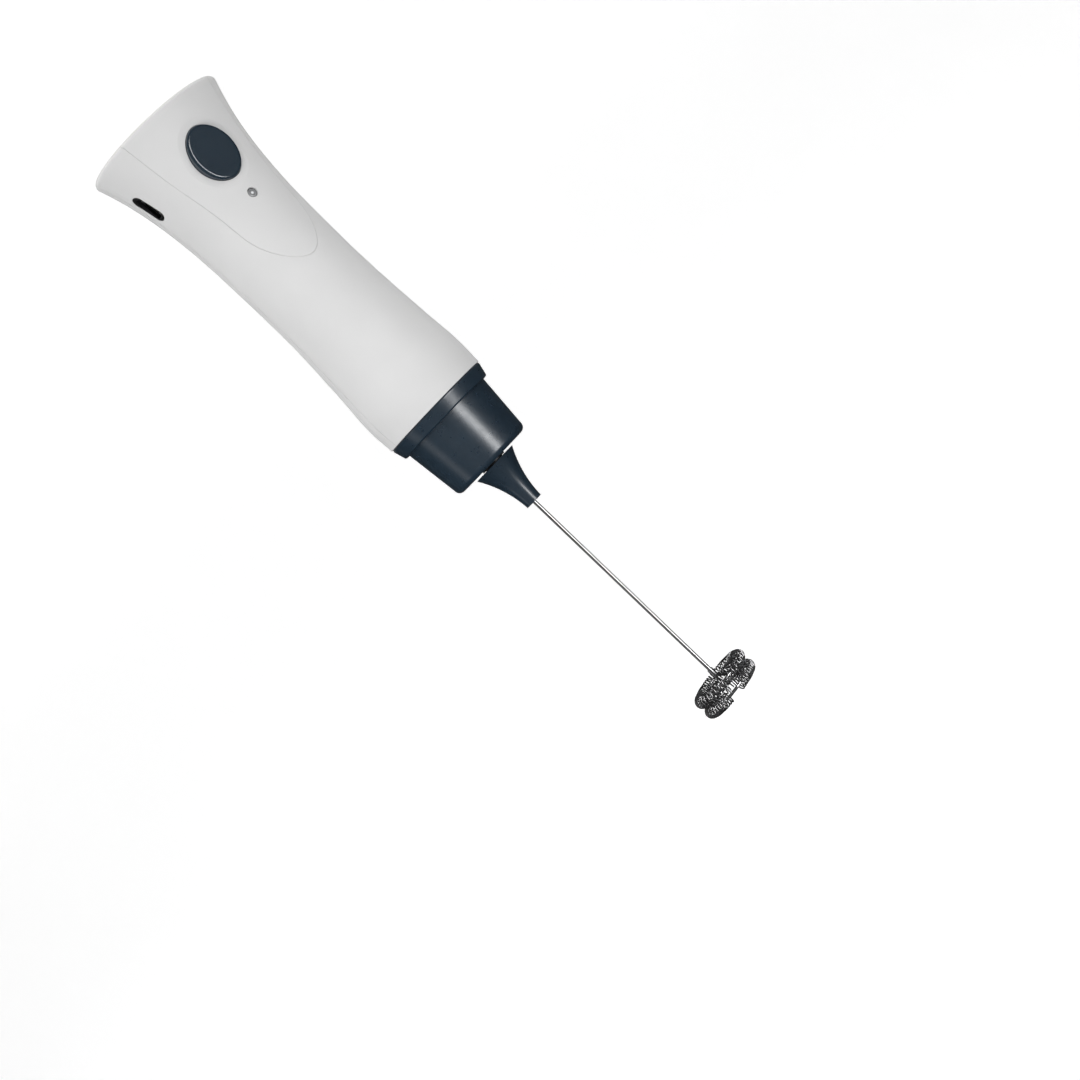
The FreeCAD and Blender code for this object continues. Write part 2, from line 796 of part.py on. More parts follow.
# ---- Motor ----
def make_motor_can():
    can = tube(motor_radius, motor_radius - motor_wall, motor_bottom, motor_top)
    top = Part.makeCylinder(motor_radius, motor_wall, Vector(0, 0, motor_top - motor_wall))
    boss = Part.makeCylinder(motor_boss_radius, motor_boss_depth, Vector(0, 0, motor_top))
    can = can.fuse(top).fuse(boss).removeSplitter()
    bore = Part.makeCylinder(bush_radius, motor_wall + motor_boss_depth + 2, Vector(0, 0, motor_top - motor_wall - 1))
    can = can.cut(bore)
    for x in (-mount_screw_ring, mount_screw_ring):
        hole = Part.makeCylinder(mount_screw_radius, motor_wall + 2, Vector(x, 0, motor_top - motor_wall - 1))
        can = can.cut(hole)
    return can


def make_end_bell():
    inner = motor_radius - motor_wall
    plate = Part.makeCylinder(motor_radius, end_bell_depth, Vector(0, 0, bell_bottom))
    spigot = Part.makeCylinder(inner, spigot_depth, Vector(0, 0, motor_bottom))
    bore = Part.makeCylinder(inner - spigot_wall, spigot_depth + 2 * over, Vector(0, 0, motor_bottom - over))
    spigot = spigot.cut(bore).cut(make_brushes())
    bell = plate.fuse(spigot).removeSplitter()
    bell = bell.cut(Part.makeCylinder(bush_radius, end_bell_depth + 2, Vector(0, 0, bell_bottom - 1)))
    for x in (-motor_wire_side, motor_wire_side):
        bell = bell.cut(terminal(x, terminal_length + end_bell_depth))
    return bell


def terminal(x, length):
    """A flat terminal beside the motor wire, hanging from the end bell."""
    y = wire_y + wire_radius
    low = bell_bottom - terminal_length
    return block(x - terminal_width / 2, x + terminal_width / 2, y, y + terminal_thickness, low, low + length)


def make_motor_terminals():
    length = terminal_length + end_bell_depth
    return Part.makeCompound([terminal(x, length) for x in (-motor_wire_side, motor_wire_side)])


def bush(z):
    return tube(bush_radius, shaft_radius + running_gap, z, z + bush_length)


def sector(radius, z0, z1, middle_angle, angle):
    """A wedge of a cylinder, centred on middle_angle."""
    wedge = Part.makeCylinder(radius, z1 - z0, Vector(0, 0, z0), Vector(0, 0, 1), angle)
    wedge.rotate(Vector(0, 0, 0), Vector(0, 0, 1), middle_angle - angle / 2)
    return wedge


rotor_bottom = motor_bottom + commutator_length + 2.4
rotor_top = rotor_bottom + rotor_length
rotor_radius = motor_radius - motor_wall - magnet_thickness - air_gap


def make_magnets():
    middle = (rotor_bottom + rotor_top) / 2
    low = middle - magnet_length / 2
    high = middle + magnet_length / 2
    outer = motor_radius - motor_wall
    magnets = []
    for angle in (90, 270):
        arc = sector(outer, low, high, angle, magnet_angle)
        hollow = Part.makeCylinder(outer - magnet_thickness, high - low, Vector(0, 0, low))
        magnets.append(arc.cut(hollow))
    return Part.makeCompound(magnets)


def pole_angles():
    return [360.0 * k / rotor_poles for k in range(rotor_poles)]


def pole_neck(grow, z0, z1, angle):
    neck = block(0, rotor_radius - pole_shoe_depth, -pole_neck_width / 2 - grow, pole_neck_width / 2 + grow, z0, z1)
    neck.rotate(Vector(0, 0, 0), Vector(0, 0, 1), angle)
    return neck


def make_rotor_core():
    core = Part.makeCylinder(pole_hub_radius, rotor_length, Vector(0, 0, rotor_bottom))
    for angle in pole_angles():
        shoe = sector(rotor_radius, rotor_bottom, rotor_top, angle, pole_span)
        shoe = shoe.cut(Part.makeCylinder(rotor_radius - pole_shoe_depth, rotor_length, Vector(0, 0, rotor_bottom)))
        core = core.fuse(shoe).fuse(pole_neck(0, rotor_bottom, rotor_top, angle))
    core = core.removeSplitter()
    return core.cut(Part.makeCylinder(shaft_radius, rotor_length, Vector(0, 0, rotor_bottom)))


def make_windings():
    """One coil round each pole's neck."""
    coils = []
    low = rotor_bottom - winding_depth
    high = rotor_top + winding_depth
    outer = rotor_radius - pole_shoe_depth - 0.15
    hub = Part.makeCylinder(pole_hub_radius + winding_gap, high - low + 2, Vector(0, 0, low - 1))
    for angle in pole_angles():
        coil = pole_neck(winding_depth, low, high, angle)
        coil = coil.cut(pole_neck(0, rotor_bottom, rotor_top, angle)).cut(hub)
        coils.append(coil.common(sector(outer, low, high, angle, 360.0 / rotor_poles - winding_apart)))
    return Part.makeCompound(coils)


def make_commutator():
    return tube(commutator_radius, shaft_radius, commutator_z, commutator_z + commutator_length)


def make_brushes():
    """Two flat carbon brushes, either side of the commutator."""
    brushes = []
    half = brush_width / 2
    reach = motor_wire_side - terminal_width / 2 + brush_lap
    for side in (-1, 1):
        near = side * (commutator_radius + brush_gap)
        far = side * reach
        low = motor_bottom
        brushes.append(block(min(near, far), max(near, far), -half, half, low, low + brush_width))
    return Part.makeCompound(brushes)


def make_motor_shaft():
    return rod(shaft_radius, Vector(0, 0, bell_bottom - shaft_tail), Vector(0, 0, drum_bottom + shaft_grip))


def mount_outer():
    return neck_radius - neck_wall


def make_motor_mount():
    """The plate that the motor is screwed to, held by the step inside the nose cup."""
    plate = tube(mount_outer() - neck_gap, motor_boss_radius + neck_gap, motor_top, motor_top + mount_thickness)
    for x in (-mount_screw_ring, mount_screw_ring):
        hole = Part.makeCylinder(mount_screw_radius + screw_clearance, mount_thickness + 2, Vector(x, 0, motor_top - 1))
        plate = plate.cut(hole)
    return plate


def make_motor_screws():
    screws = []
    seat = motor_top + mount_thickness
    for x in (-mount_screw_ring, mount_screw_ring):
        head = Part.makeCylinder(mount_head_radius, mount_head_depth, Vector(x, 0, seat))
        body = Part.makeCylinder(mount_screw_radius, mount_screw_length, Vector(x, 0, seat - mount_screw_length))
        screws.append(head.fuse(body).removeSplitter())
    return Part.makeCompound(screws)


def make_motor_sleeve():
    """A rubber sleeve that keeps the motor's hum out of the handle."""
    top = motor_top - 0.5
    return tube(motor_radius + sleeve_thickness, motor_radius, top - sleeve_length, top)


# ---- Collar and nose cup ----
def make_collar_ring():
    ring = turned([
        (neck_radius + neck_gap, collar_z),
        (collar_radius, collar_z),
        (collar_top_radius, nose_z),
        (neck_radius + neck_gap, nose_z),
    ])
    rim = [e for e in ring.Edges if e.BoundBox.XLength > 2 * collar_top_radius - edge_match]
    return ring.makeFillet(collar_round, rim)


def make_nose_cup():
    shoulder = mouth_z - neck_depth
    flange_bottom = shoulder - neck_flange_depth
    step = motor_top + mount_thickness
    inner = mount_outer()
    upper = nose_top_radius - nose_wall
    roof = nose_end_z - nose_wall
    edge = nose_end_z - nose_edge_round
    corner = nose_edge_round * (1 - math.sqrt(0.5))
    cup = turned([
        (inner, flange_bottom),
        (neck_radius + neck_flange, flange_bottom),
        (neck_radius + neck_flange, shoulder),
        (neck_radius, shoulder),
        (neck_radius, nose_z),
        (nose_radius, nose_z),
        (nose_top_radius, edge),
        (nose_top_radius - corner, nose_end_z - corner, nose_top_radius - nose_edge_round, nose_end_z),
        (nose_mouth_radius, nose_end_z),
        (nose_mouth_radius, roof),
        (upper, roof),
        (upper, step),
        (inner, step),
    ])
    seat_top = drum_bottom - seal_drop
    seat_bottom = seat_top - seal_depth
    web = tube(upper + seal_web_lap, seal_radius, seat_bottom, seat_top)
    return cup.fuse(web).removeSplitter()


def make_shaft_seal():
    top = drum_bottom - seal_drop
    return tube(seal_radius, shaft_radius + seal_gap, top - seal_depth, top)


# ---- Coupling and whisk ----
def square_post(side, z0, z1):
    half = side / 2
    return block(-half, half, -half, half, z0, z1)


def make_drive_coupling():
    drum = Part.makeCylinder(coupling_radius, drum_top - drum_bottom, Vector(0, 0, drum_bottom))
    coupling = drum.fuse(square_post(coupling_post, drum_top, post_top)).removeSplitter()
    return coupling.cut(Part.makeCylinder(shaft_radius, shaft_grip, Vector(0, 0, drum_bottom)))


def make_whisk_hub():
    middle = hub_z + hub_length * hub_mid_share
    hub = turned([
        (0, hub_z),
        (hub_radius, hub_z),
        (hub_mid_radius, middle, hub_top_radius, hub_top),
        (0, hub_top),
    ])
    hub = hub.cut(square_post(coupling_post + 2 * coupling_fit, hub_z, post_top + coupling_fit))
    return hub.cut(Part.makeCylinder(rod_radius, rod_seat, Vector(0, 0, rod_bottom)))


def make_whisk_rod():
    return rod(rod_radius, Vector(0, 0, rod_bottom), Vector(0, 0, rod_top))


def make_ferrule():
    ferrule = tube(ferrule_radius, rod_radius, rod_top - ferrule_length, rod_top)
    cap = Part.makeCylinder(ferrule_radius, ferrule_radius, Vector(0, 0, rod_top))
    return ferrule.fuse(cap).removeSplitter()


def tilt_about(shape, z):
    """Lean a ring about its own centre, down on the side away from the port."""
    angle = math.radians(ring_tilt_azimuth)
    lean = Vector(math.sin(angle), -math.cos(angle), 0)
    shape.rotate(Vector(0, 0, z), lean, ring_tilt)
    return shape


def ring_part(section_radii, z, gap, offset):
    """A ring of round section about Z, open by the gap angle near the front; two radii make it a tube."""
    solids = []
    for radius in section_radii:
        start = math.radians(ring_tilt_azimuth - 90 + offset + gap / 2)
        centre = Vector(ring_radius * math.cos(start), ring_radius * math.sin(start), z)
        along = Vector(-math.sin(start), math.cos(start), 0)
        face = Part.Face(Part.Wire([Part.makeCircle(radius, centre, along)]))
        solids.append(face.revolve(Vector(0, 0, 0), Vector(0, 0, 1), 360 - gap))
    ring = solids[0]
    for hollow in solids[1:]:
        ring = ring.cut(hollow)
    return tilt_about(ring, z)


def ring_wire(z):
    ring = Part.makeTorus(ring_radius, ring_wire_radius, Vector(0, 0, z))
    return tilt_about(ring, z)


def make_spring(z, offset):
    """The space that one coil spring takes up round its ring wire."""
    return ring_part((spring_tube_radius, spring_tube_radius - spring_wire), z, spring_gap_angle, offset)


def ring_point(offset, z, radius):
    """A point beside the middle of the springs' gap, on the leaning ring."""
    angle = math.radians(ring_tilt_azimuth - 90 + offset)
    point = Part.Vertex(radius * math.cos(angle), radius * math.sin(angle), z)
    return tilt_about(point, z).Point


def make_spoke():
    """The wire from the ferrule out to the upper ring."""
    start = Vector(0, 0, rod_top + ferrule_radius / 2)
    end = ring_point(spoke_offset, upper_ring_z, ring_radius)
    heading = end.sub(start)
    heading.normalize()
    spoke = rod(spoke_radius, start, end.sub(heading * (ring_wire_radius / 2)))
    return spoke.cut(make_ferrule()).cut(ring_wire(upper_ring_z))


def make_links():
    """Two short wires, welded between the upper and the lower ring in the springs' gaps."""
    links = []
    for offset in link_offsets:
        start = ring_point(offset, upper_ring_z, ring_radius)
        end = ring_point(offset, lower_ring_z, ring_radius)
        link = rod(link_radius, start, end)
        links.append(link.cut(ring_wire(upper_ring_z)).cut(ring_wire(lower_ring_z)))
    return Part.makeCompound(links)


def build():
    solid_form = casing_form(0, 0, mouth_z)
    foot = [e for e in solid_form.Edges if e.BoundBox.ZMax < TINY]
    solid_form = solid_form.makeFillet(end_round, foot)
    panel_floor = casing_form(panel_thickness, -1, mouth_z)
    root = wall * post_root_share
    inner_form = casing_form(root, root, mouth_z)
    skin = casing_skin(solid_form)
    return {
        "front_shell": make_front_shell(skin, inner_form, panel_floor, solid_form),
        "rear_shell": make_rear_shell(skin, inner_form),
        "front_panel": make_front_panel(solid_form, panel_floor),
        "button_cap": make_button_cap(),
        "led_lens": make_led_lens(),
        "led": make_led(),
        "usb_shell": make_usb_shell(),
        "usb_tongue": make_usb_tongue(),
        "port_liner": make_port_liner(),
        "pcb": make_pcb(),
        "charge_chip": make_charge_chip(),
        "tact_switch_body": make_switch_body(),
        "tact_switch_plunger": make_switch_plunger(),
        "housing_screws": make_housing_screws(),
        "pcb_screws": make_pcb_screws(),
        "battery_cell": make_battery_cell(),
        "battery_tabs": make_battery_tabs(),
        "battery_foam_pad": make_battery_pad(),
        "battery_wire_black": make_short_wire(-battery_wire_side),
        "battery_wire_red": make_long_wire(battery_wire_side, cell_top),
        "motor_wire_black": make_long_wire(-motor_wire_side, bell_bottom),
        "motor_wire_red": make_long_wire(motor_wire_side, bell_bottom),
        "motor_can": make_motor_can(),
        "motor_end_bell": make_end_bell(),
        "motor_terminals": make_motor_terminals(),
        "motor_magnets": make_magnets(),
        "motor_brushes": make_brushes(),
        "motor_rear_bushing": bush(bell_bottom),
        "motor_front_bushing": bush(motor_top - motor_wall),
        "motor_mount": make_motor_mount(),
        "motor_screws": make_motor_screws(),
        "motor_sleeve": make_motor_sleeve(),
        "motor_shaft": make_motor_shaft(),
        "rotor_core": make_rotor_core(),
        "rotor_windings": make_windings(),
        "commutator": make_commutator(),
        "collar_ring": make_collar_ring(),
        "nose_cup": make_nose_cup(),
        "shaft_seal": make_shaft_seal(),
        "drive_coupling": make_drive_coupling(),
        "whisk_hub": make_whisk_hub(),
        "whisk_rod": make_whisk_rod(),
        "whisk_ferrule": make_ferrule(),
        "whisk_spoke": make_spoke(),
        "whisk_links": make_links(),
        "whisk_upper_wire": ring_wire(upper_ring_z),
        "whisk_lower_wire": ring_wire(lower_ring_z),
        "spring_upper": make_spring(upper_ring_z, upper_gap_offset),
        "spring_lower": make_spring(lower_ring_z, lower_gap_offset),
    }


os.makedirs("parts", exist_ok=True)
for name, shape in build().items():
    if not shape.isValid():
        raise RuntimeError(name + " is not a valid shape")
    shape.exportStep("parts/" + name + ".step")
    print(name, len(shape.Solids), round(shape.Volume, 2))
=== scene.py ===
import json
import math
import random
import bpy
import bmesh
from mathutils import Matrix, Vector

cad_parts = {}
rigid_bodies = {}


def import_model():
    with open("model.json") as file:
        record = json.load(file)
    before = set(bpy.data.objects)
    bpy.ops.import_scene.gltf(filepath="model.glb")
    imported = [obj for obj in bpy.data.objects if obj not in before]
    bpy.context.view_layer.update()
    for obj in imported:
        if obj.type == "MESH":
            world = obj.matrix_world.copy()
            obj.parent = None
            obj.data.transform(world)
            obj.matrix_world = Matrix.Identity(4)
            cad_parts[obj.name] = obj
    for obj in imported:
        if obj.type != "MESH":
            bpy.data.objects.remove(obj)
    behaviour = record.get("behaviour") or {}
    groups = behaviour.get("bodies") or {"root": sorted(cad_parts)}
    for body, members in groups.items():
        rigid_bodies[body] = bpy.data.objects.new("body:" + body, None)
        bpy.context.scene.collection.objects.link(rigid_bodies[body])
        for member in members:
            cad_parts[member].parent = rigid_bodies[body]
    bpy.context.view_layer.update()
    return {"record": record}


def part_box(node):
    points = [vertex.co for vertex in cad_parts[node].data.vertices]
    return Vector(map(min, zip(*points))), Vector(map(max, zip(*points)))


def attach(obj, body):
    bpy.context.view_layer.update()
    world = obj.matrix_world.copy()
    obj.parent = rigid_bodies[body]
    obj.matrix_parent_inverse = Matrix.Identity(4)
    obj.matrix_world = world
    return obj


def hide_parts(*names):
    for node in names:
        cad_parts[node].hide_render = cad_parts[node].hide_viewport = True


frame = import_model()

MM = 0.001

# ---- Camera ----
VIEW_AZIMUTH = math.radians(28.8)
CAMERA_DISTANCE = 0.657
CAMERA_HEIGHT = 0.1339          # level of the lens on the frother's axis
AIM_HEIGHT = 0.1665
AIM_SIDE = 0.0072               # towards the charging port
PHOTO_TILT = math.radians(43.72)
LENS = 73.0
SENSOR = 36.0

# ---- Lights: distances in metres from the middle of the frother, powers in watts ----
LIGHT_MIDDLE = Vector((0, 0, 0.12))
STRIP_ANGLE = math.radians(34)  # away from the camera, on the side without the port
STRIP_DISTANCE = 0.9
# name, towards the camera, towards the port's side, upwards, width, height, power, shades, reflects
STUDIO_LIGHTS = (
    ("strip_light", STRIP_DISTANCE * math.cos(STRIP_ANGLE), -STRIP_DISTANCE * math.sin(STRIP_ANGLE), 0.0,
     0.26, 0.9, 6.4, False, True),
    ("rim_light", 0.225, 0.855, 0.0, 0.25, 0.9, 0.5, False, True),
    ("broad_light", 0.82, 0.55, 0.15, 0.5, 0.9, 5.6, True, False),
    ("fill_light", 0.65, -0.80, 0.0, 0.6, 0.9, 4.2, True, False),
    ("top_light", 0.3, 0.0, 1.1, 0.9, 0.9, 3.0, True, False),
)
ROOM_BEHIND = 0.03              # grey of the room behind the frother
ROOM_BEFORE = 0.17              # and on the camera's side

# ---- Floor and backdrop ----
FLOOR_DROP = 0.5 * MM           # keeps the floor clear of the flat end
SWEEP_REACH = 3.0               # floor towards the camera, half its width, and the backdrop's top
SWEEP_START = 0.7
SWEEP_RADIUS = 0.5
SWEEP_STEPS = 24

# ---- Whisk head and light pipe ----
RING_TILT = math.radians(5.5)
RING_WIRE_RADIUS = 0.5 * MM
SPRING_RADIUS = 2.1 * MM
SPRING_WIRE = 0.45 * MM
WIRE_SIDES = 8
WIRE_TIP = 0.6                  # how far a wire's end bulges, in wire radii
STEPS_PER_TURN = 22
SLOW_SWAY = 0.30                # uneven pitch of the turns, as a share of one turn
QUICK_SWAY = 0.18
SQUEEZE = 0.03                  # uneven size of the turns
# spring, its ring's wire, gap's middle and width in degrees, turns, bunching, seed
SPRINGS = (
    ("spring_upper", "whisk_upper_wire", -10.0, 4.0, 47.5, 0.25, 7),
    ("spring_lower", "whisk_lower_wire", -2.0, 30.0, 44.5, -0.2, 11),
)
LENS_RADIUS = 1.5 * MM

towards_camera = Vector((math.sin(VIEW_AZIMUTH), -math.cos(VIEW_AZIMUTH), 0))
view_right = Vector((math.cos(VIEW_AZIMUTH), math.sin(VIEW_AZIMUTH), 0))


def make_camera():
    """The photograph's camera, rolled so that the whisk points to the lower right."""
    place = towards_camera * CAMERA_DISTANCE + Vector((0, 0, CAMERA_HEIGHT))
    aim = view_right * AIM_SIDE + Vector((0, 0, AIM_HEIGHT))
    forward = (aim - place).normalized()
    level = forward.cross(Vector((0, 0, 1))).normalized()
    above = level.cross(forward)
    right = -math.sin(PHOTO_TILT) * level + math.cos(PHOTO_TILT) * above
    up = -math.cos(PHOTO_TILT) * level - math.sin(PHOTO_TILT) * above
    data = bpy.data.cameras.new("photo_camera")
    data.lens = LENS
    data.sensor_width = SENSOR
    camera = bpy.data.objects.new("photo_camera", data)
    turn = Matrix((right, up, -forward)).transposed().to_4x4()
    camera.matrix_world = Matrix.Translation(place) @ turn
    bpy.context.scene.collection.objects.link(camera)
    bpy.context.scene.camera = camera


def area_light(name, place, aim, width, height, power):
    data = bpy.data.lights.new(name, "AREA")
    data.shape = "RECTANGLE"
    data.size = width
    data.size_y = height
    data.energy = power
    light = bpy.data.objects.new(name, data)
    forward = (Vector(aim) - Vector(place)).normalized()
    side = forward.cross(Vector((0, 0, 1))).normalized()
    up = side.cross(forward)
    turn = Matrix((side, up, -forward)).transposed().to_4x4()
    light.matrix_world = Matrix.Translation(place) @ turn
    bpy.context.scene.collection.objects.link(light)
    return light


def make_lights():
    """A narrow strip gives the highlights; broad soft lights give the shading."""
    for name, before, beside, above, width, height, power, shades, reflects in STUDIO_LIGHTS:
        place = LIGHT_MIDDLE + towards_camera * before + view_right * beside + Vector((0, 0, above))
        light = area_light(name, place, LIGHT_MIDDLE, width, height, power)
        light.visible_diffuse = shades
        light.visible_glossy = reflects
    world = bpy.context.scene.world or bpy.data.worlds.new("studio")
    bpy.context.scene.world = world
    make_surroundings(world)
    bpy.context.scene.view_settings.view_transform = "Standard"


def make_surroundings(world):
    """A grey room that is brighter on the side that the photograph was taken from."""
    world.use_nodes = True
    tree = world.node_tree
    sky = tree.nodes["Background"]
    where = tree.nodes.new("ShaderNodeTexCoord")
    facing = tree.nodes.new("ShaderNodeVectorMath")
    facing.operation = "DOT_PRODUCT"
    facing.inputs[1].default_value = towards_camera
    ramp = tree.nodes.new("ShaderNodeValToRGB")
    ramp.color_ramp.elements[0].position = 0.0
    ramp.color_ramp.elements[0].color = (ROOM_BEHIND, ROOM_BEHIND, ROOM_BEHIND, 1)
    ramp.color_ramp.elements[1].position = 1.0
    ramp.color_ramp.elements[1].color = (ROOM_BEFORE, ROOM_BEFORE, ROOM_BEFORE, 1)
    tree.links.new(where.outputs["Generated"], facing.inputs[0])
    tree.links.new(facing.outputs["Value"], ramp.inputs["Fac"])
    tree.links.new(ramp.outputs["Color"], sky.inputs["Color"])
    sky.inputs["Strength"].default_value = 1.0


# ---- Materials ----
class Paint:
    """A small helper that builds one procedural material."""

    def __init__(self, name):
        self.material = bpy.data.materials.new(name)
        self.material.use_nodes = True
        self.tree = self.material.node_tree
        self.shader = self.tree.nodes["Principled BSDF"]

    def node(self, kind, **values):
        made = self.tree.nodes.new(kind)
        for key, value in values.items():
            if key in made.inputs:
                made.inputs[key].default_value = value
            else:
                setattr(made, key, value)
        return made

    def join(self, source, target):
        self.tree.links.new(source, target)

    def place(self):
        return self.node("ShaderNodeTexCoord").outputs["Object"]

    def noise(self, scale, detail=3.0, stretch=None):
        where = self.place()
        if stretch:
            mapping = self.node("ShaderNodeMapping")
            mapping.inputs["Scale"].default_value = stretch
            self.join(where, mapping.inputs["Vector"])
            where = mapping.outputs["Vector"]
        texture = self.node("ShaderNodeTexNoise", Scale=scale, Detail=detail)
        self.join(where, texture.inputs["Vector"])
        return texture.outputs["Fac"]

    def spread(self, source, low, high, start=0.3, end=0.7):
        """Map a texture onto a range of values."""
        ranged = self.node("ShaderNodeMapRange")
        ranged.inputs["From Min"].default_value = start
        ranged.inputs["From Max"].default_value = end
        ranged.inputs["To Min"].default_value = low
        ranged.inputs["To Max"].default_value = high
        self.join(source, ranged.inputs["Value"])
        return ranged.outputs["Result"]

    def colours(self, source, stops):
        ramp = self.node("ShaderNodeValToRGB")
        ramp.color_ramp.elements[0].position = stops[0][0]
        ramp.color_ramp.elements[0].color = (*stops[0][1], 1)
        ramp.color_ramp.elements[1].position = stops[-1][0]
        ramp.color_ramp.elements[1].color = (*stops[-1][1], 1)
        for place, colour in stops[1:-1]:
            ramp.color_ramp.elements.new(place).color = (*colour, 1)
        self.join(source, ramp.inputs["Fac"])
        return ramp.outputs["Color"]

    def bump(self, source, distance, strength=1.0):
        bump = self.node("ShaderNodeBump")
        bump.inputs["Distance"].default_value = distance
        bump.inputs["Strength"].default_value = strength
        self.join(source, bump.inputs["Height"])
        self.join(bump.outputs["Normal"], self.shader.inputs["Normal"])

    def set(self, **values):
        for key, value in values.items():
            self.shader.inputs[key.replace("_", " ")].default_value = value


def white_plastic():
    """Satin white moulding with a very fine eggshell grain."""
    paint = Paint("white_plastic")
    cloud = paint.noise(55.0, 2.0)
    paint.join(paint.colours(cloud, [(0.3, (0.645, 0.645, 0.645)), (0.7, (0.67, 0.67, 0.67))]),
               paint.shader.inputs["Base Color"])
    paint.join(paint.spread(paint.noise(420.0, 2.0), 0.50, 0.60), paint.shader.inputs["Roughness"])
    paint.bump(paint.noise(2600.0, 2.0), 0.00001, 0.35)
    paint.set(Specular_IOR_Level=0.12)
    return paint.material


def navy_plastic(name, dark, light, roughness, grain):
    """Dark blue-grey moulding."""
    paint = Paint(name)
    cloud = paint.noise(90.0, 3.0)
    paint.join(paint.colours(cloud, [(0.3, dark), (0.7, light)]), paint.shader.inputs["Base Color"])
    paint.join(paint.spread(paint.noise(600.0, 2.0), roughness - 0.02, roughness + 0.03),
               paint.shader.inputs["Roughness"])
    paint.bump(paint.noise(grain, 2.0), 0.000005, 0.1)
    paint.set(Specular_IOR_Level=0.9)
    return paint.material


def plain_moulding(name, dark, light, roughness):
    paint = Paint(name)
    cloud = paint.noise(160.0, 3.0)
    paint.join(paint.colours(cloud, [(0.3, dark), (0.7, light)]), paint.shader.inputs["Base Color"])
    paint.join(paint.spread(paint.noise(700.0, 2.0), roughness - 0.05, roughness + 0.06),
               paint.shader.inputs["Roughness"])
    paint.bump(paint.noise(1800.0, 2.0), 0.00002, 0.3)
    return paint.material


def metal(name, dark, light, roughness, stretch=(1, 1, 1)):
    """Drawn or turned metal with fine marks along the work."""
    paint = Paint(name)
    marks = paint.noise(900.0, 3.0, stretch)
    paint.join(paint.colours(marks, [(0.3, dark), (0.7, light)]), paint.shader.inputs["Base Color"])
    paint.join(paint.spread(marks, roughness * 0.7, roughness * 1.3), paint.shader.inputs["Roughness"])
    paint.bump(marks, 0.00001, 0.2)
    paint.set(Metallic=1.0)
    return paint.material


def polished(name, dark, light, roughness):
    """Bright drawn wire with only a faint, slow change of tone."""
    paint = Paint(name)
    cloud = paint.noise(140.0, 2.0)
    paint.join(paint.colours(cloud, [(0.3, dark), (0.7, light)]), paint.shader.inputs["Base Color"])
    paint.join(paint.spread(paint.noise(300.0, 2.0), roughness * 0.85, roughness * 1.15),
               paint.shader.inputs["Roughness"])
    paint.set(Metallic=1.0)
    return paint.material


def clear_plastic():
    """The light pipe: a bright spot in the middle of a dark ring; the bright spot is a painted highlight
    and the dark ring is painted shade from the hole the lens sits in.
    """
    paint = Paint("clear_plastic")
    low, high = (Vector(c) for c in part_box("led_lens"))
    middle = (low + high) / 2
    shift = paint.node("ShaderNodeVectorMath", operation="SUBTRACT")
    paint.join(paint.place(), shift.inputs[0])
    shift.inputs[1].default_value = middle
    flat = paint.node("ShaderNodeVectorMath", operation="MULTIPLY")
    paint.join(shift.outputs["Vector"], flat.inputs[0])
    flat.inputs[1].default_value = (1, 0, 1)
    length = paint.node("ShaderNodeVectorMath", operation="LENGTH")
    paint.join(flat.outputs["Vector"], length.inputs[0])
    reach = paint.spread(length.outputs["Value"], 0.0, 1.0, 0.0, LENS_RADIUS)
    wobble = paint.spread(paint.noise(900.0, 2.0), -0.03, 0.03)
    total = paint.node("ShaderNodeMath", operation="ADD")
    paint.join(reach, total.inputs[0])
    paint.join(wobble, total.inputs[1])
    # painted light: a bright painted highlight in the middle, then a dark ring of painted shade where the
    # hole in the panel shades the lens
    rings = [(0.0, (0.85, 0.86, 0.87)), (0.22, (0.75, 0.76, 0.77)), (0.34, (0.22, 0.225, 0.23)),
             (0.60, (0.20, 0.205, 0.21)), (0.78, (0.36, 0.365, 0.37)), (1.0, (0.28, 0.285, 0.29))]
    paint.join(paint.colours(total.outputs["Value"], rings), paint.shader.inputs["Base Color"])
    paint.join(paint.spread(paint.noise(800.0, 2.0), 0.12, 0.2), paint.shader.inputs["Roughness"])
    paint.set(Coat_Weight=0.5, Coat_Roughness=0.05)
    return paint.material


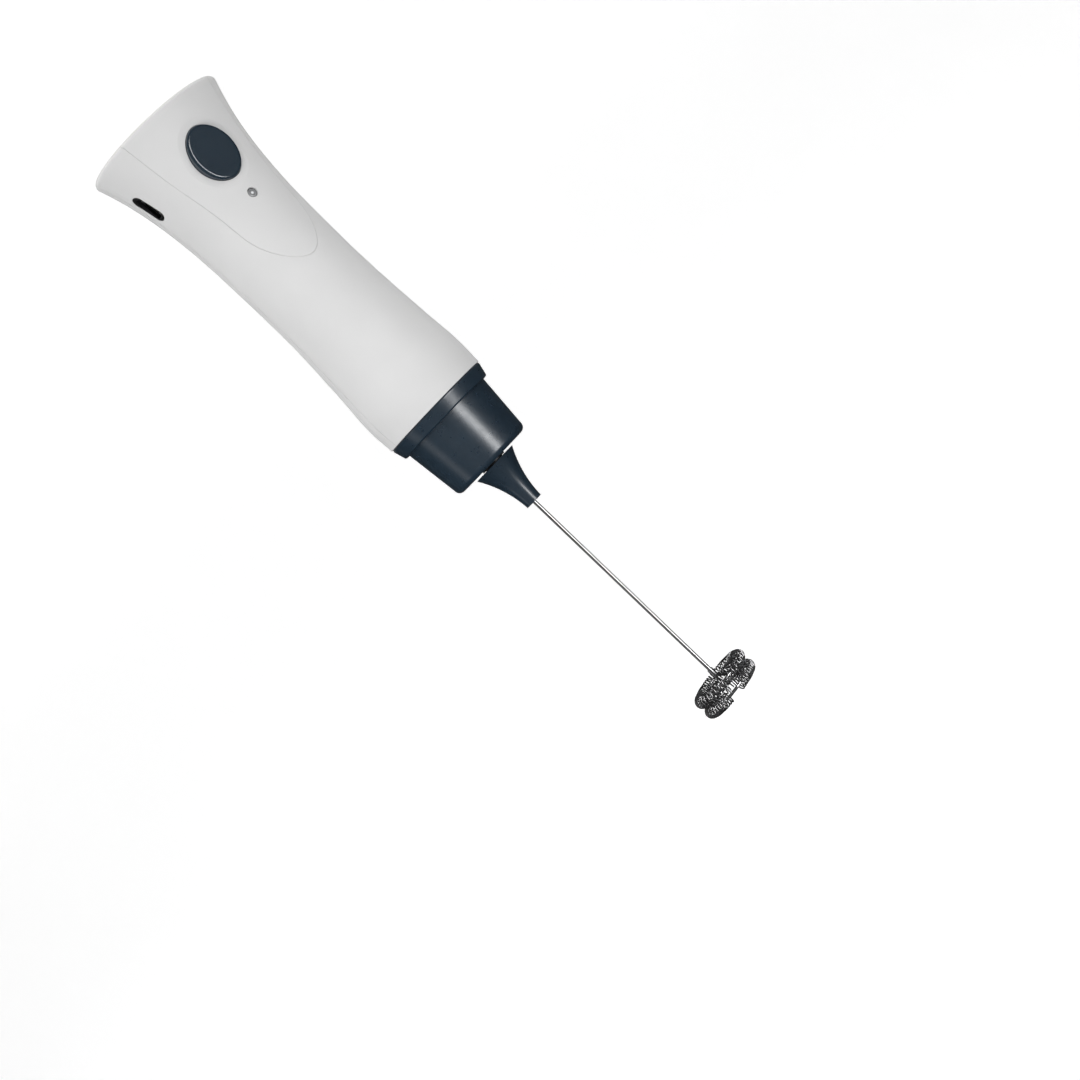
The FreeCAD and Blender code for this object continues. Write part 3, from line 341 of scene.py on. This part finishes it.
def make_materials():
    steel_dark = (0.40, 0.40, 0.41)
    steel_light = (0.62, 0.62, 0.63)
    bright_dark = (0.45, 0.45, 0.46)
    bright_light = (0.55, 0.55, 0.56)
    return {
        "white_plastic": white_plastic(),
        "navy_plastic": navy_plastic("navy_plastic", (0.011, 0.0235, 0.038), (0.014, 0.0285, 0.045),
                                     0.29, 2400.0),
        "navy_gloss": navy_plastic("navy_gloss", (0.0095, 0.022, 0.0355), (0.012, 0.026, 0.041),
                                   0.20, 3200.0),
        "black_plastic": plain_moulding("black_plastic", (0.008, 0.008, 0.009), (0.014, 0.014, 0.015), 0.4),
        "clear_plastic": clear_plastic(),
        "led_resin": plain_moulding("led_resin", (0.75, 0.73, 0.60), (0.85, 0.84, 0.74), 0.3),
        "steel": metal("steel", steel_dark, steel_light, 0.28, (1, 1, 0.1)),
        "stainless": polished("stainless", bright_dark, bright_light, 0.13),
        "can_steel": metal("can_steel", steel_dark, steel_light, 0.35, (1, 1, 0.2)),
        "board_green": plain_moulding("board_green", (0.01, 0.10, 0.03), (0.02, 0.14, 0.05), 0.35),
        "cell_wrap": plain_moulding("cell_wrap", (0.02, 0.10, 0.30), (0.03, 0.14, 0.38), 0.25),
        "foam": plain_moulding("foam", (0.03, 0.03, 0.03), (0.06, 0.06, 0.06), 0.9),
        "rubber": plain_moulding("rubber", (0.010, 0.010, 0.011), (0.02, 0.02, 0.022), 0.7),
        "copper": metal("copper", (0.55, 0.24, 0.10), (0.80, 0.40, 0.20), 0.3),
        "bronze": metal("bronze", (0.40, 0.26, 0.12), (0.60, 0.42, 0.20), 0.45),
        "magnet": plain_moulding("magnet", (0.03, 0.03, 0.035), (0.06, 0.06, 0.065), 0.6),
        "carbon": plain_moulding("carbon", (0.02, 0.02, 0.02), (0.04, 0.04, 0.04), 0.6),
        "wire_red": plain_moulding("wire_red", (0.35, 0.01, 0.01), (0.45, 0.02, 0.02), 0.4),
        "wire_black": plain_moulding("wire_black", (0.01, 0.01, 0.01), (0.02, 0.02, 0.02), 0.4),
    }


def dress_cad(materials):
    """Give every CAD node the material of its slot."""
    for part in frame["record"]["subparts"]:
        piece = bpy.data.objects[part["node"]]
        piece.data.materials.clear()
        piece.data.materials.append(materials[part["material_slot"]])


# ---- Stage ----
def make_stage(paint):
    """A pale floor that sweeps up into the backdrop behind the frother."""
    mesh = bpy.data.meshes.new("sweep")
    form = bmesh.new()
    back = -towards_camera
    profile = [(-SWEEP_REACH, -FLOOR_DROP), (SWEEP_START, -FLOOR_DROP)]
    for k in range(1, SWEEP_STEPS + 1):
        angle = math.pi / 2 * k / SWEEP_STEPS
        height = SWEEP_RADIUS * (1 - math.cos(angle)) - FLOOR_DROP
        profile.append((SWEEP_START + SWEEP_RADIUS * math.sin(angle), height))
    profile.append((SWEEP_START + SWEEP_RADIUS, SWEEP_REACH))
    rows = []
    for distance, height in profile:
        centre = back * distance
        left = form.verts.new(centre - view_right * SWEEP_REACH + Vector((0, 0, height)))
        right = form.verts.new(centre + view_right * SWEEP_REACH + Vector((0, 0, height)))
        rows.append((left, right))
    for (a, b), (c, d) in zip(rows, rows[1:]):
        face = form.faces.new((a, b, d, c))
        face.smooth = True
    form.to_mesh(mesh)
    form.free()
    mesh.materials.append(paint)
    sweep = bpy.data.objects.new("sweep", mesh)
    bpy.context.scene.collection.objects.link(sweep)
    sweep.visible_glossy = False


def paper():
    paint = Paint("backdrop_paper")
    cloud = paint.noise(6.0, 2.0)
    paint.join(paint.colours(cloud, [(0.3, (0.93, 0.93, 0.93)), (0.7, (0.95, 0.95, 0.95))]),
               paint.shader.inputs["Base Color"])
    paint.set(Roughness=0.9, Specular_IOR_Level=0.1, Emission_Color=(1, 1, 1, 1), Emission_Strength=0.5)
    return paint.material


# ---- Whisk head ----
def ring_frame(node):
    """Centre and lean of a ring, read from its wire's box."""
    low, high = (Vector(c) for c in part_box(node))
    centre = (low + high) / 2
    lean = Matrix.Rotation(RING_TILT, 3, towards_camera)
    return centre, lean


def coil_points(centre, lean, ring_radius, tube_radius, start, end, turns, bunch, seed):
    """Points along a wire wound round a ring, with slightly uneven turns."""
    draw = random.Random(seed)
    phases = [draw.uniform(0, 2 * math.pi) for _ in range(3)]
    total = int(turns * STEPS_PER_TURN)
    points = []
    for k in range(total + 1):
        share = k / total
        wind = 2 * math.pi * turns * share
        round_ring = 2 * math.pi * share
        sway = SLOW_SWAY * math.sin(3 * round_ring + phases[0])
        sway += QUICK_SWAY * math.sin(7 * round_ring + phases[1])
        angle = start + (end - start) * (share + bunch * math.sin(round_ring) / (2 * math.pi))
        angle += sway / turns
        tube = tube_radius * (1.0 - SQUEEZE * (1 + math.sin(11 * round_ring + phases[2])) / 2)
        reach = ring_radius + tube * math.cos(wind)
        local = Vector((reach * math.cos(angle), reach * math.sin(angle), tube * math.sin(wind)))
        points.append(centre + lean @ local)
    return points


def wire_mesh(name, points, radius):
    """A round wire along a list of points, with rounded ends."""
    form = bmesh.new()
    rings = []
    count = len(points)
    tangent = (points[1] - points[0]).normalized()
    side = tangent.orthogonal().normalized()
    for k, point in enumerate(points):
        before = points[k - 1] if k else points[0]
        after = points[k + 1] if k + 1 < count else points[-1]
        tangent = (after - before).normalized()
        side = (side - tangent * side.dot(tangent)).normalized()
        across = tangent.cross(side)
        ring = []
        for j in range(WIRE_SIDES):
            turn = 2 * math.pi * j / WIRE_SIDES
            ring.append(form.verts.new(point + (side * math.cos(turn) + across * math.sin(turn)) * radius))
        rings.append(ring)
    for one, two in zip(rings, rings[1:]):
        for j in range(WIRE_SIDES):
            after = (j + 1) % WIRE_SIDES
            form.faces.new((one[j], one[after], two[after], two[j]))
    for ring, point, neighbour in ((rings[0], points[0], points[1]), (rings[-1], points[-1], points[-2])):
        tip = form.verts.new(point + (point - neighbour).normalized() * radius * WIRE_TIP)
        for j in range(WIRE_SIDES):
            form.faces.new((ring[j], ring[(j + 1) % WIRE_SIDES], tip))
    bmesh.ops.recalc_face_normals(form, faces=form.faces)
    for face in form.faces:
        face.smooth = True
    mesh = bpy.data.meshes.new(name)
    form.to_mesh(mesh)
    form.free()
    piece = bpy.data.objects.new(name, mesh)
    bpy.context.scene.collection.objects.link(piece)
    return piece


def make_springs(materials):
    """Wind both coil springs: the lower one leaves the wire bare at the whisk's front."""
    front = VIEW_AZIMUTH - math.pi / 2
    for node, wire, offset, gap, turns, bunch, seed in SPRINGS:
        centre, lean = ring_frame(wire)
        low, high = (Vector(c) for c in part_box(wire))
        ring_radius = (high.x - low.x) / 2 - RING_WIRE_RADIUS
        tube_radius = SPRING_RADIUS - SPRING_WIRE / 2
        start = front + math.radians(offset + gap / 2)
        end = front + math.radians(offset - gap / 2) + 2 * math.pi
        points = coil_points(centre, lean, ring_radius, tube_radius, start, end, turns, bunch, seed)
        piece = wire_mesh(node + "_coil", points, SPRING_WIRE / 2)
        piece.data.materials.append(materials["stainless"])
        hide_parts(node)
        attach(piece, "whisk")


make_camera()
make_lights()
materials = make_materials()
dress_cad(materials)
make_springs(materials)
make_stage(paper())
